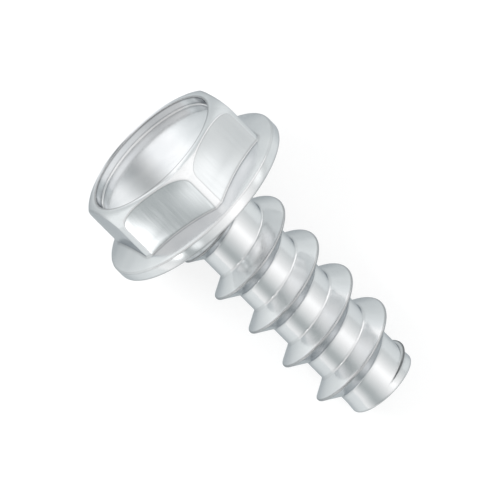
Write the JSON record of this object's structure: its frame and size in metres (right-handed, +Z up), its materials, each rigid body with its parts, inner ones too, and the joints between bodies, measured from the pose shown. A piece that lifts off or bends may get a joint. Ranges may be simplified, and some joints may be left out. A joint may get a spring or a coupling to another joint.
{
  "type": "hex washer head self-tapping screw",
  "caption": "Steel self-tapping screw with a hexagonal washer head, a shallow round recess in the head, a coarse sharp thread up to the washer and a blunt tip.",
  "frame": {"origin": "centre of the base of the screw's bounding box, on the floor that the lying screw rests on", "axes": "+Z up from the floor; +X level, from the head towards the tip, and the screw's own axis dips 13.8 degrees below it; +Y level, across the screw"},
  "size_m": [0.0176, 0.0104, 0.0101],
  "materials": {
    "zinc_steel": "bright zinc plating over steel, satin, with faint streaks along the axis"
  },
  "bodies": {
    "root": {"screw": "zinc_steel"}
  },
  "joints": []
}
